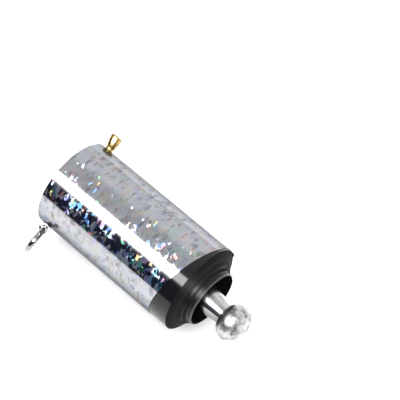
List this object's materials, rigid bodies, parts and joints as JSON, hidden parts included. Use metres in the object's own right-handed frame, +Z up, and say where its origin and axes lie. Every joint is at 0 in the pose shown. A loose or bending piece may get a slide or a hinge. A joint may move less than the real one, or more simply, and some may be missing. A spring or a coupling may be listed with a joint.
{
  "type": "magic wand",
  "caption": "Spring-out magic wand rolled into a short tube, with a silver laser-film grip, metal ball knob on a flared stem, brass pin ferrule and a pull ring.",
  "frame": {"origin": "centre of the roll's base rim, on the wand's axis", "axes": "+X along the wand from the base rim to the knob, +Z up with the wand lying on its side, +Y to the latch's ferrule side"},
  "size_m": [0.1214, 0.0714, 0.0493],
  "materials": {
    "strip": "glossy black strip, lighter along its cut edges",
    "film": "silver holographic film in small cracked facets",
    "brass": "polished",
    "nickel": "nickel plated, polished",
    "turned_metal": "turned and polished",
    "cast_metal": "cast and polished, slightly mottled",
    "steel": "zinc plated",
    "bush": "moulded black",
    "line": "braided line",
    "thread": "black waxed thread"
  },
  "bodies": {
    "grip": {"outer_turn": "strip", "laser_film": "film", "pin_ferrule": "brass", "ferrule_nut": "brass", "ring_eyelet": "nickel", "retaining_loop": "line", "loop_crimp": "steel"},
    "turn_02": {"strip_turn_02": "strip"},
    "turn_03": {"strip_turn_03": "strip"},
    "turn_04": {"strip_turn_04": "strip"},
    "turn_05": {"strip_turn_05": "strip"},
    "turn_06": {"strip_turn_06": "strip"},
    "turn_07": {"strip_turn_07": "strip"},
    "turn_08": {"strip_turn_08": "strip"},
    "turn_09": {"strip_turn_09": "strip"},
    "turn_10": {"strip_turn_10": "strip"},
    "turn_11": {"strip_turn_11": "strip"},
    "turn_12": {"strip_turn_12": "strip"},
    "turn_13": {"strip_turn_13": "strip"},
    "turn_14": {"strip_turn_14": "strip"},
    "tip": {"strip_turn_15": "strip", "rear_bush": "bush", "front_bush": "bush", "core_rivets": "turned_metal", "rod_washers": "steel", "rod_nuts": "steel", "stem_rod": "steel", "stem": "turned_metal", "ball_knob": "cast_metal"},
    "pin": {"latch_pin": "nickel", "ring_tether": "thread"},
    "ring": {"pull_ring": "nickel"}
  },
  "joints": [
    {"name": "slide_02", "type": "slide", "parent": "grip", "child": "turn_02", "axis": [1, 0, 0], "range_m": [0, 0.07]},
    {"name": "slide_03", "type": "slide", "parent": "turn_02", "child": "turn_03", "axis": [1, 0, 0], "range_m": [0, 0.07]},
    {"name": "slide_04", "type": "slide", "parent": "turn_03", "child": "turn_04", "axis": [1, 0, 0], "range_m": [0, 0.07]},
    {"name": "slide_05", "type": "slide", "parent": "turn_04", "child": "turn_05", "axis": [1, 0, 0], "range_m": [0, 0.07]},
    {"name": "slide_06", "type": "slide", "parent": "turn_05", "child": "turn_06", "axis": [1, 0, 0], "range_m": [0, 0.07]},
    {"name": "slide_07", "type": "slide", "parent": "turn_06", "child": "turn_07", "axis": [1, 0, 0], "range_m": [0, 0.07]},
    {"name": "slide_08", "type": "slide", "parent": "turn_07", "child": "turn_08", "axis": [1, 0, 0], "range_m": [0, 0.07]},
    {"name": "slide_09", "type": "slide", "parent": "turn_08", "child": "turn_09", "axis": [1, 0, 0], "range_m": [0, 0.07]},
    {"name": "slide_10", "type": "slide", "parent": "turn_09", "child": "turn_10", "axis": [1, 0, 0], "range_m": [0, 0.07]},
    {"name": "slide_11", "type": "slide", "parent": "turn_10", "child": "turn_11", "axis": [1, 0, 0], "range_m": [0, 0.07]},
    {"name": "slide_12", "type": "slide", "parent": "turn_11", "child": "turn_12", "axis": [1, 0, 0], "range_m": [0, 0.07]},
    {"name": "slide_13", "type": "slide", "parent": "turn_12", "child": "turn_13", "axis": [1, 0, 0], "range_m": [0, 0.07]},
    {"name": "slide_14", "type": "slide", "parent": "turn_13", "child": "turn_14", "axis": [1, 0, 0], "range_m": [0, 0.07]},
    {"name": "slide_15", "type": "slide", "parent": "turn_14", "child": "tip", "axis": [1, 0, 0], "range_m": [0, 0.07], "deforming": ["retaining_loop"]},
    {"name": "pin_pull", "type": "slide", "parent": "grip", "child": "pin", "axis": [0, -0.9272, -0.3746], "range_m": [0, 0.06]},
    {"name": "ring_swing", "type": "hinge", "parent": "pin", "child": "ring", "pos_m": [0.0035, -0.02625, -0.01061], "axis": [-0.3907, 0.3448, -0.8535], "range_deg": [-75, 75]}
  ],
  "couplings": [
    {"joint": "slide_03", "follows": "slide_02", "ratio": 1},
    {"joint": "slide_04", "follows": "slide_02", "ratio": 1},
    {"joint": "slide_05", "follows": "slide_02", "ratio": 1},
    {"joint": "slide_06", "follows": "slide_02", "ratio": 1},
    {"joint": "slide_07", "follows": "slide_02", "ratio": 1},
    {"joint": "slide_08", "follows": "slide_02", "ratio": 1},
    {"joint": "slide_09", "follows": "slide_02", "ratio": 1},
    {"joint": "slide_10", "follows": "slide_02", "ratio": 1},
    {"joint": "slide_11", "follows": "slide_02", "ratio": 1},
    {"joint": "slide_12", "follows": "slide_02", "ratio": 1},
    {"joint": "slide_13", "follows": "slide_02", "ratio": 1},
    {"joint": "slide_14", "follows": "slide_02", "ratio": 1},
    {"joint": "slide_15", "follows": "slide_02", "ratio": 1}
  ]
}
